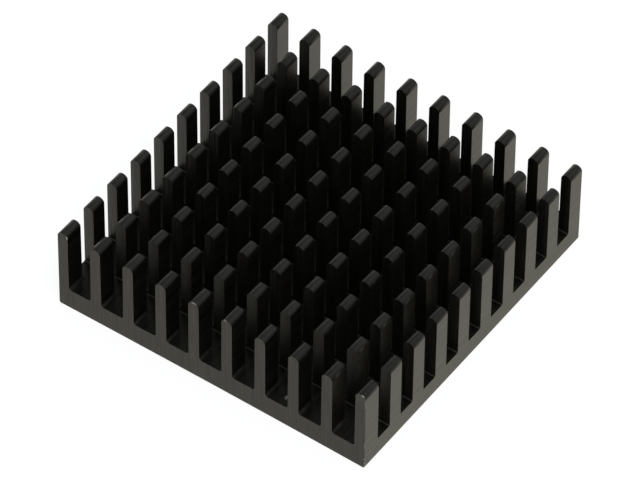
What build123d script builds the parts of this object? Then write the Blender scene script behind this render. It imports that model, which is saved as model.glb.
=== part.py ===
from build123d import *
import os

# A pin-fin heat sink in one piece of aluminium, sizes in millimetres.
# A comb of upright fins with round crowns on a flat base is extruded along Y.
# A gang of saw blades then cuts across the fins along X and leaves a field of rectangular pins.
# The origin is the middle of the underside, X is across the fins, Y is along the extrusion, Z is up.

# Fins across X, each a little thinner at its crown than at its root
fin_count = 10
fin_pitch = 3.768
fin_root_thickness = 1.22
fin_crown_thickness = 1.17
end_fin_thickness = 1.155

# Heights from the underside, with the saw cuts a little deeper than the channels between the fins
height = 10.08
crown_rise = 0.52
base_thickness = 2.47
cut_into_base = 0.21

# Pins and saw cuts along Y, from the front end to the back end
front_pin_length = 2.07
pin_length = 1.735
back_pin_length = 1.85
cut_width = 1.94
cut_count = 9

# Bevel where fins meet the base, and radius along the two long edges of the underside
root_bevel = 0.20
base_edge_radius = 0.20

# What follows from them
fin_span = (fin_count - 1) * fin_pitch
half_width = fin_span / 2 + end_fin_thickness - fin_root_thickness / 2
cut_pitch = pin_length + cut_width
length = front_pin_length + cut_count * cut_pitch - pin_length + back_pin_length
front_end = -length / 2
cut_floor = base_thickness - cut_into_base
nearly = 0.001


def fin_face(centre):
    """One fin from the underside to its crown. End fins are trimmed square to the width."""
    root_left = max(centre - fin_root_thickness / 2, -half_width)
    root_right = min(centre + fin_root_thickness / 2, half_width)
    crown_left = max(centre - fin_crown_thickness / 2, -half_width)
    crown_right = min(centre + fin_crown_thickness / 2, half_width)
    shoulder = height - crown_rise
    peak = ((crown_left + crown_right) / 2, height)
    left_side = Polyline((root_left, 0), (root_left, base_thickness), (crown_left, shoulder))
    crown = ThreePointArc((crown_left, shoulder), peak, (crown_right, shoulder))
    right_side = Polyline((crown_right, shoulder), (root_right, base_thickness), (root_right, 0))
    foot = Line((root_right, 0), (root_left, 0))
    return make_face(left_side + crown + right_side + foot)


def comb_section():
    """The extruded section: base bar and fins, with bevelled roots and rounded underside edges."""
    bar = Pos(0, base_thickness / 2) * Rectangle(2 * half_width, base_thickness)
    comb = bar + [fin_face(index * fin_pitch - fin_span / 2) for index in range(fin_count)]
    inner = comb.vertices().filter_by(lambda corner: abs(corner.X) < half_width - nearly)
    roots = inner.filter_by(lambda corner: abs(corner.Y - base_thickness) < nearly)
    comb = chamfer(roots, root_bevel)
    outer = comb.vertices().filter_by(lambda corner: abs(corner.X) > half_width - nearly)
    feet = outer.filter_by(lambda corner: abs(corner.Y) < nearly)
    return fillet(feet, base_edge_radius)


def extruded_bar():
    """The comb section pushed out along Y, centred on the origin."""
    upright = Plane.XZ * comb_section()
    return extrude(upright, amount=length / 2, both=True)


def saw_cuts():
    """The slots that the saw blades leave, open at the top and at both sides."""
    slot = Box(2 * half_width, cut_width, height - cut_floor, align=(Align.CENTER, Align.MIN, Align.MIN))
    first = front_end + front_pin_length
    return [Pos(0, first + index * cut_pitch, cut_floor) * slot for index in range(cut_count)]


heat_sink = extruded_bar() - saw_cuts()

os.makedirs("parts", exist_ok=True)
export_step(heat_sink, "parts/heat_sink.step")
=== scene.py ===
import math

import bmesh
import bpy
from mathutils import Matrix, Vector


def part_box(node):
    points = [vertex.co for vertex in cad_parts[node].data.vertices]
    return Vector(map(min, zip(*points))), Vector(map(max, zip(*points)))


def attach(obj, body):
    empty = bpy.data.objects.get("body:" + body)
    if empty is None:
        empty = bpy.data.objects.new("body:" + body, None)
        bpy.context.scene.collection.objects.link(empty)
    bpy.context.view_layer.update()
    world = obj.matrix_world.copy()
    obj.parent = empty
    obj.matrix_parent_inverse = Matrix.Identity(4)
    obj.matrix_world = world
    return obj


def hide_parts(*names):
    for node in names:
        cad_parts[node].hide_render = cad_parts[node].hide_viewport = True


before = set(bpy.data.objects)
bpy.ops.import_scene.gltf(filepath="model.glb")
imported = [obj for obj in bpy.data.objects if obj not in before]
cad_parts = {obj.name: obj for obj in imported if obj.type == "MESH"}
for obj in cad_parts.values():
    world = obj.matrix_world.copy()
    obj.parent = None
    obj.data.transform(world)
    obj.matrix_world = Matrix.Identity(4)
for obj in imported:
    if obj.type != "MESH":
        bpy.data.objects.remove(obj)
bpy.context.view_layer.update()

PART = "heat_sink"
MILLIMETRE = 0.001

# Camera, from the photograph's vanishing lines. Lengths in metres, angles in degrees.
CAMERA_AZIMUTH = 34.89
CAMERA_ELEVATION = 47.64
CAMERA_ROLL = 0.726
CAMERA_DISTANCE = 0.61157
CAMERA_LENS_MM = 364.44
SENSOR_WIDTH_MM = 36.0
AIM_RIGHT = -0.00003
AIM_UP = 0.00283
CLIP_NEAR = 0.01
CLIP_FAR = 20.0

# Points that lie this close together are one point, and faces that meet within the flat angle are one face
WELD_DISTANCE = 1e-7
FLAT_ANGLE = math.radians(0.5)

# Every sharp edge is a little soft
SHARP_ANGLE = math.radians(30)
EDGE_SOFTENING = 0.04 * MILLIMETRE
EDGE_STEPS = 2
ROUND_PROFILE = 0.5

# The saw leaves a small curve at the foot of each cut
CUT_FLOOR = 2.26 * MILLIMETRE
LEVEL_TOLERANCE = 0.005 * MILLIMETRE
SAW_CORNER = 0.13 * MILLIMETRE
SAW_CORNER_STEPS = 4

# Large faces decide the shading, so that they stay flat up to their rounded edges
LARGE_FACE_WEIGHT = 100

# The extruded bar is bowed a little across its width, so its middle stands clear of the floor
BOW = 0.12 * MILLIMETRE
BOW_STRIPS = 20

# The two fins at the left, the two rows at the back and the fin at the right stand a little lower
LOW_LEFT_OF = -11.3 * MILLIMETRE
LOW_BEHIND = 11.0 * MILLIMETRE
LOW_RIGHT_OF = 15.0 * MILLIMETRE
PIN_DROP = 0.085 * MILLIMETRE
RIGHT_PIN_DROP = 0.045 * MILLIMETRE
BASE_TOP = 2.47 * MILLIMETRE

# Sawn faces look forward or backward, and the slanted edges at the feet of the pins look partly up and get
# the lighter black of the painted highlight
CUT_FACE_LIMIT = 0.9
FEET_SLOPE = (0.3, 0.95)
FEET_HEIGHT = (2.20 * MILLIMETRE, 2.72 * MILLIMETRE)
INNER_HALF = 17.4 * MILLIMETRE

# The three finishes; the third is a lighter black that paints a highlight on the slanted faces at the feet of
# the pins.
# The grain is the noise's waves in a metre along X, Y and Z, and the two colours are the darker and the lighter
# of the black.
FINISHES = {
    "extruded_black": {
        "grain_scale": (5000, 60, 5000),
        "grain_depth": 0.004 * MILLIMETRE,
        "roughness": 0.31,
        "reflectance": 1.362,
        "colours": ((0.0012, 0.0012, 0.0010), (0.0066, 0.0064, 0.0057)),
    },
    "sawn_black": {
        "grain_scale": (5000, 5000, 250),
        "grain_depth": 0.045 * MILLIMETRE,
        "roughness": 0.44,
        "reflectance": 1.417,
        "colours": ((0.0001, 0.0001, 0.0001), (0.0056, 0.0054, 0.0048)),
    },
    # Painted highlight: a lighter black for the slanted faces at the feet of the pins
    "feet_highlight_black": {
        "grain_scale": (5000, 5000, 5000),
        "grain_depth": 0.007 * MILLIMETRE,
        "roughness": 0.35,
        "reflectance": 1.365,
        "colours": ((0.007, 0.007, 0.006), (0.018, 0.017, 0.016)),
    },
}
EXTRUDED, SAWN, FEET_HIGHLIGHT = range(len(FINISHES))

# Streaks of colour are longer than the grain, and the roughness goes up and down with the grain
STREAK_LENGTH = 2.5
ROUGHNESS_CHANGE = 0.06

# The noise's detail, and the range that nearly all of it lies in
NOISE_DETAIL = 3.0
NOISE_RANGE = (0.3, 0.7)

# The dyed layer: its tint, and how much its own surface mirrors
DYE_TINT = (0.967, 0.951, 0.872, 1)
DYE_IOR = 1.05

# The front face and the right side, in millimetres from the middle
FRONT = -17.63
RIGHT = 17.50

# Places where the black finish is rubbed thin or through: middle and half sizes in millimetres, and how far
BARE_SPOTS = {
    "near pin, front edge of its crown": ((17.32, FRONT, 9.96), (0.26, 0.07, 0.22), 0.75),
    "near pin, face under its crown": ((16.90, FRONT, 9.45), (0.50, 0.05, 0.45), 0.015),
    "near edge under the crown": ((RIGHT, FRONT, 8.80), (0.12, 0.10, 0.60), 0.12),
    "near edge, root": ((RIGHT, FRONT, 3.10), (0.10, 0.09, 0.40), 0.15),
    "near edge, upper nick": ((RIGHT, FRONT, 1.20), (0.14, 0.12, 0.15), 0.16),
    "near edge, middle nick": ((RIGHT, FRONT, 0.66), (0.14, 0.12, 0.11), 0.22),
    "near edge, lower nick": ((RIGHT, FRONT, 0.32), (0.12, 0.10, 0.10), 0.30),
    "left pin, inner edge of its crown": ((-16.40, FRONT, 9.56), (0.13, 0.08, 0.24), 0.60),
    "left pin, inner edge": ((-16.36, FRONT, 8.60), (0.04, 0.04, 0.30), 0.15),
    "fifth pin, front edge of its crown": ((-1.80, FRONT, 10.03), (0.32, 0.08, 0.10), 0.28),
    "sixth pin, front edge of its crown": ((1.72, FRONT, 10.02), (0.18, 0.09, 0.12), 0.24),
    "speck on the base beside the eighth fin": ((7.98, -16.62, 2.47), (0.23, 0.34, 0.08), 0.85),
}
BARE_METAL = (0.56, 0.55, 0.52, 1)

# A spot fades out between these shares of its half sizes, and noise makes its outline ragged by about the reach,
# in the same shares
SPOT_FADE = (0.7, 1.15)
RAGGED_SCALE = (14000, 14000, 14000)
RAGGED_REACH = 0.35

# The floor: pale paper to what it lights, and its own white with a faint shadow where it is seen or mirrored
FLOOR_SIZE = 16.0
FLOOR_GAP = 0.02 * MILLIMETRE
FLOOR_PAPER = (0.8, 0.8, 0.8, 1)
FLOOR_SHADOW = (0.2, 0.2, 0.2, 1)
FLOOR_GLOW = 0.85

# The studio's brighter parts: direction, the cosines from it where the light starts and stops growing, and the
# light's strength at the start and at the end
STUDIO_PARTS = {
    "low on the left": ((-0.83, 0.55, 0.03), (0.70, 0.95), (0.55, 0.82)),
    "high at the back": ((0.31, 0.55, 0.77), (0.83, 1.0), (0, 0.50)),
}
STUDIO_COLOUR = (0.925, 0.958, 1, 1)

# The horizon is white, and fades out between these heights on a sphere of radius 1
HORIZON_FADE = (0.05, 0.20)

LAMP_PLACE = (0.42, -0.42, 0.66)
LAMP_SIZE = 0.9
LAMP_WATTS = 5.0


def camera_axes():
    """The camera's right, up and backward directions in the object's frame."""
    azimuth = math.radians(CAMERA_AZIMUTH)
    elevation = math.radians(CAMERA_ELEVATION)
    back = Vector((
        math.sin(azimuth) * math.cos(elevation),
        -math.cos(azimuth) * math.cos(elevation),
        math.sin(elevation),
    ))
    level = Vector((math.cos(azimuth), math.sin(azimuth), 0))
    rise = back.cross(level)
    roll = math.radians(CAMERA_ROLL)
    right = level * math.cos(roll) + rise * math.sin(roll)
    up = rise * math.cos(roll) - level * math.sin(roll)
    return right, up, back


def add_camera():
    """The photograph's camera: far away, with a long lens."""
    right, up, back = camera_axes()
    data = bpy.data.cameras.new("camera")
    data.lens = CAMERA_LENS_MM
    data.sensor_width = SENSOR_WIDTH_MM
    data.clip_start = CLIP_NEAR
    data.clip_end = CLIP_FAR
    camera = bpy.data.objects.new("camera", data)
    turn = Matrix((right, up, back)).transposed().to_4x4()
    place = back * CAMERA_DISTANCE + right * AIM_RIGHT + up * AIM_UP
    camera.matrix_world = Matrix.Translation(place) @ turn
    bpy.context.scene.collection.objects.link(camera)
    bpy.context.scene.camera = camera


class Nodes:
    """A node tree, with short calls to add and join nodes."""

    def __init__(self, tree):
        self.tree = tree
        self.tree.nodes.clear()

    def add(self, kind, **settings):
        """A new node with the given settings."""
        node = self.tree.nodes.new(kind)
        for name, value in settings.items():
            setattr(node, name, value)
        return node

    def join(self, source, target):
        """Lead one node's output into another's input."""
        self.tree.links.new(source, target)

    def calculate(self, operation, first, second):
        """The result of one operation on two values."""
        result = self.add("ShaderNodeMath", operation=operation)
        self.join(first, result.inputs[0])
        self.join(second, result.inputs[1])
        return result.outputs[0]

    def scaled_place(self, scale, shift=(0, 0, 0)):
        """The place in the object's own metres, times a scale for each axis, and then moved."""
        place = self.add("ShaderNodeTexCoord")
        mapping = self.add("ShaderNodeMapping")
        mapping.inputs["Scale"].default_value = scale
        mapping.inputs["Location"].default_value = shift
        self.join(place.outputs["Object"], mapping.inputs["Vector"])
        return mapping.outputs["Vector"]

    def noise(self, scale):
        """Noise stretched by a scale for each axis."""
        texture = self.add("ShaderNodeTexNoise")
        texture.inputs["Scale"].default_value = 1.0
        texture.inputs["Detail"].default_value = NOISE_DETAIL
        self.join(self.scaled_place(scale), texture.inputs["Vector"])
        return texture.outputs["Fac"]

    def ranged(self, value, low, high, source=NOISE_RANGE):
        """The value rescaled from its source range to run from low to high."""
        change = self.add("ShaderNodeMapRange")
        change.inputs["From Min"].default_value = source[0]
        change.inputs["From Max"].default_value = source[1]
        change.inputs["To Min"].default_value = low
        change.inputs["To Max"].default_value = high
        self.join(value, change.inputs["Value"])
        return change.outputs["Result"]

    def tint(self, value, dark, pale):
        """A colour between dark and pale."""
        mix = self.add("ShaderNodeMix", data_type="RGBA")
        mix.inputs["A"].default_value = (*dark, 1)
        mix.inputs["B"].default_value = (*pale, 1)
        self.join(value, mix.inputs["Factor"])
        return mix.outputs["Result"]


def bare_mask(nodes):
    """How far the black finish is rubbed off: 1 is bare metal, 0 is whole."""
    ragged = nodes.ranged(nodes.noise(RAGGED_SCALE), -RAGGED_REACH, RAGGED_REACH)
    spots = []
    for middle, reach, depth in BARE_SPOTS.values():
        scale = [1 / (half * MILLIMETRE) for half in reach]
        shift = [-at / half for at, half in zip(middle, reach)]
        away = nodes.add("ShaderNodeVectorMath", operation="LENGTH")
        nodes.join(nodes.scaled_place(scale, shift), away.inputs[0])
        rough_away = nodes.calculate("ADD", away.outputs["Value"], ragged)
        spots.append(nodes.ranged(rough_away, depth, 0, SPOT_FADE))
    mask = spots[0]
    for spot in spots[1:]:
        mask = nodes.calculate("MAXIMUM", mask, spot)
    return mask


def anodised(name, grain_scale, grain_depth, roughness, reflectance, colours):
    """Black anodised aluminium with fine lines along the grain, rubbed bare in a few places."""
    material = bpy.data.materials.new(name)
    material.use_nodes = True
    nodes = Nodes(material.node_tree)
    shader = nodes.add("ShaderNodeBsdfPrincipled")
    output = nodes.add("ShaderNodeOutputMaterial")
    shader.inputs["IOR"].default_value = reflectance
    shader.inputs["Coat Weight"].default_value = 1.0
    shader.inputs["Coat Roughness"].default_value = roughness
    shader.inputs["Coat IOR"].default_value = DYE_IOR
    shader.inputs["Coat Tint"].default_value = DYE_TINT

    grain = nodes.noise(grain_scale)
    streaks = nodes.noise([waves / STREAK_LENGTH for waves in grain_scale])
    bare = bare_mask(nodes)

    colour = nodes.add("ShaderNodeMix", data_type="RGBA")
    colour.inputs["B"].default_value = BARE_METAL
    nodes.join(bare, colour.inputs["Factor"])
    nodes.join(nodes.tint(nodes.ranged(streaks, 0, 1), *colours), colour.inputs["A"])
    nodes.join(colour.outputs["Result"], shader.inputs["Base Color"])
    nodes.join(bare, shader.inputs["Metallic"])

    smoothest = roughness - ROUGHNESS_CHANGE
    roughest = roughness + ROUGHNESS_CHANGE
    nodes.join(nodes.ranged(grain, smoothest, roughest), shader.inputs["Roughness"])

    bump = nodes.add("ShaderNodeBump")
    bump.inputs["Strength"].default_value = 1.0
    bump.inputs["Distance"].default_value = grain_depth
    nodes.join(grain, bump.inputs["Height"])
    nodes.join(bump.outputs["Normal"], shader.inputs["Normal"])
    nodes.join(shader.outputs["BSDF"], output.inputs["Surface"])
    return material


def cut_into_strips(body, half_width):
    """Cut the body into strips across its width, so that it can follow the bow."""
    for strip in range(1, BOW_STRIPS):
        bmesh.ops.bisect_plane(
            body, geom=[*body.verts, *body.edges, *body.faces], dist=WELD_DISTANCE,
            plane_co=(half_width * (2 * strip / BOW_STRIPS - 1), 0, 0), plane_no=(1, 0, 0),
        )


def is_sharp(edge):
    """Whether the two faces beside an edge meet at a clear angle."""
    return edge.calc_face_angle(0) > SHARP_ANGLE


def at_cut_foot(edge):
    """Whether an edge runs along the foot of a saw cut."""
    first, second = (vertex.co for vertex in edge.verts)
    level = all(abs(end.z - CUT_FLOOR) < LEVEL_TOLERANCE for end in (first, second))
    return level and abs(first.y - second.y) < LEVEL_TOLERANCE and is_sharp(edge)


def round_edges(body, wanted, size, steps):
    """Round off the wanted edges."""
    bmesh.ops.bevel(
        body, geom=[edge for edge in body.edges if wanted(edge)], offset=size, offset_type="OFFSET",
        segments=steps, profile=ROUND_PROFILE, affect="EDGES", clamp_overlap=True,
    )


def finish_of(face):
    """Which of the finishes a face has; the slanted faces at the feet get the lighter black of the painted
    highlight.
    """
    middle = face.calc_center_median()
    inside = abs(middle.x) < INNER_HALF and abs(middle.y) < INNER_HALF
    at_foot = FEET_HEIGHT[0] < middle.z < FEET_HEIGHT[1]
    # The slanted faces at the feet get the lighter black that paints a highlight along them
    if inside and at_foot and FEET_SLOPE[0] < face.normal.z < FEET_SLOPE[1]:
        return FEET_HIGHLIGHT
    return SAWN if abs(face.normal.y) > CUT_FACE_LIMIT else EXTRUDED


def pin_drop(place):
    """How much lower than the others the pins at one place stand."""
    if place.x < LOW_LEFT_OF or place.y > LOW_BEHIND:
        return PIN_DROP
    return RIGHT_PIN_DROP if place.x > LOW_RIGHT_OF else 0


def settle(body, top_corner):
    """Bow the body so that its middle rises and its two sides rest on the floor, and lower some pins.

    The rise fades out towards the top, where the sides come down instead, so the body stays inside its box.
    """
    for vertex in body.verts:
        place = vertex.co.copy()
        rise = BOW * (1 - (place.x / top_corner.x) ** 2 - place.z / top_corner.z)
        up_pin = max(0, place.z - BASE_TOP) / (top_corner.z - BASE_TOP)
        vertex.co.z += rise - pin_drop(place) * up_pin


def refined_heat_sink():
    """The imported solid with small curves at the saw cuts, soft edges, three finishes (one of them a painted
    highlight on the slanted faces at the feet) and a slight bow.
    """
    top_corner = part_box(PART)[1]
    body = bmesh.new()
    body.from_mesh(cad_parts[PART].data)
    bmesh.ops.remove_doubles(body, verts=body.verts, dist=WELD_DISTANCE)
    bmesh.ops.dissolve_limit(body, angle_limit=FLAT_ANGLE, verts=body.verts, edges=body.edges)
    cut_into_strips(body, top_corner.x)
    round_edges(body, at_cut_foot, SAW_CORNER, SAW_CORNER_STEPS)
    round_edges(body, is_sharp, EDGE_SOFTENING, EDGE_STEPS)
    for face in body.faces:
        face.smooth = True
        face.material_index = finish_of(face)
    settle(body, top_corner)
    mesh = bpy.data.meshes.new("heat_sink_finish")
    body.to_mesh(mesh)
    body.free()
    for name, finish in FINISHES.items():
        mesh.materials.append(anodised(name, **finish))
    piece = bpy.data.objects.new("heat_sink_finish", mesh)
    bpy.context.scene.collection.objects.link(piece)
    flatten = piece.modifiers.new("flat_faces", "WEIGHTED_NORMAL")
    flatten.weight = LARGE_FACE_WEIGHT
    flatten.keep_sharp = False
    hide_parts("heat_sink")
    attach(piece, "root")


def floor_white():
    """White paper that lights the object as plain paper does, and shows white to the camera and in gloss."""
    material = bpy.data.materials.new("floor_white")
    material.use_nodes = True
    nodes = Nodes(material.node_tree)
    output = nodes.add("ShaderNodeOutputMaterial")
    paper = nodes.add("ShaderNodeBsdfDiffuse")
    paper.inputs["Color"].default_value = FLOOR_PAPER
    shadow = nodes.add("ShaderNodeBsdfDiffuse")
    shadow.inputs["Color"].default_value = FLOOR_SHADOW
    glow = nodes.add("ShaderNodeEmission")
    glow.inputs["Strength"].default_value = FLOOR_GLOW
    shown = nodes.add("ShaderNodeAddShader")
    nodes.join(shadow.outputs["BSDF"], shown.inputs[0])
    nodes.join(glow.outputs["Emission"], shown.inputs[1])
    path = nodes.add("ShaderNodeLightPath")
    seen = nodes.calculate("MAXIMUM", path.outputs["Is Camera Ray"], path.outputs["Is Transmission Ray"])
    mix = nodes.add("ShaderNodeMixShader")
    nodes.join(nodes.calculate("MAXIMUM", seen, path.outputs["Is Glossy Ray"]), mix.inputs["Fac"])
    nodes.join(paper.outputs["BSDF"], mix.inputs[1])
    nodes.join(shown.outputs["Shader"], mix.inputs[2])
    nodes.join(mix.outputs["Shader"], output.inputs["Surface"])
    return material


def add_floor():
    """A plain white floor that keeps a soft shadow."""
    half = FLOOR_SIZE / 2
    corners = [(-half, -half, 0), (half, -half, 0), (half, half, 0), (-half, half, 0)]
    mesh = bpy.data.meshes.new("floor")
    mesh.from_pydata(corners, [], [(0, 1, 2, 3)])
    mesh.materials.append(floor_white())
    floor = bpy.data.objects.new("floor", mesh)
    floor.location.z = -FLOOR_GAP
    bpy.context.scene.collection.objects.link(floor)


def add_world():
    """A soft studio with a white horizon and two brighter parts above it."""
    world = bpy.data.worlds.new("studio")
    world.use_nodes = True
    bpy.context.scene.world = world
    nodes = Nodes(world.node_tree)
    output = nodes.add("ShaderNodeOutputWorld")
    place = nodes.add("ShaderNodeTexCoord")
    parts = []
    for direction, growth, strengths in STUDIO_PARTS.values():
        towards = nodes.add("ShaderNodeVectorMath", operation="DOT_PRODUCT")
        towards.inputs[1].default_value = direction
        nodes.join(place.outputs["Generated"], towards.inputs[0])
        parts.append(nodes.ranged(towards.outputs["Value"], *strengths, growth))
    level = nodes.add("ShaderNodeSeparateXYZ")
    nodes.join(place.outputs["Generated"], level.inputs[0])
    horizon = nodes.ranged(level.outputs["Z"], 1, 0, HORIZON_FADE)
    strength = nodes.calculate("MAXIMUM", nodes.calculate("ADD", *parts), horizon)
    studio = nodes.add("ShaderNodeBackground")
    studio.inputs["Color"].default_value = STUDIO_COLOUR
    nodes.join(strength, studio.inputs["Strength"])
    nodes.join(studio.outputs["Background"], output.inputs["Surface"])


def add_lamp():
    """A square soft lamp that points at the middle of the object."""
    data = bpy.data.lights.new("key_lamp", "AREA")
    data.size = LAMP_SIZE
    data.energy = LAMP_WATTS
    lamp = bpy.data.objects.new("key_lamp", data)
    lamp.location = LAMP_PLACE
    lamp.rotation_mode = "QUATERNION"
    lamp.rotation_quaternion = Vector(LAMP_PLACE).to_track_quat("Z", "Y")
    bpy.context.scene.collection.objects.link(lamp)


refined_heat_sink()
add_camera()
add_floor()
add_world()
add_lamp()

bpy.context.scene.view_settings.view_transform = "Standard"
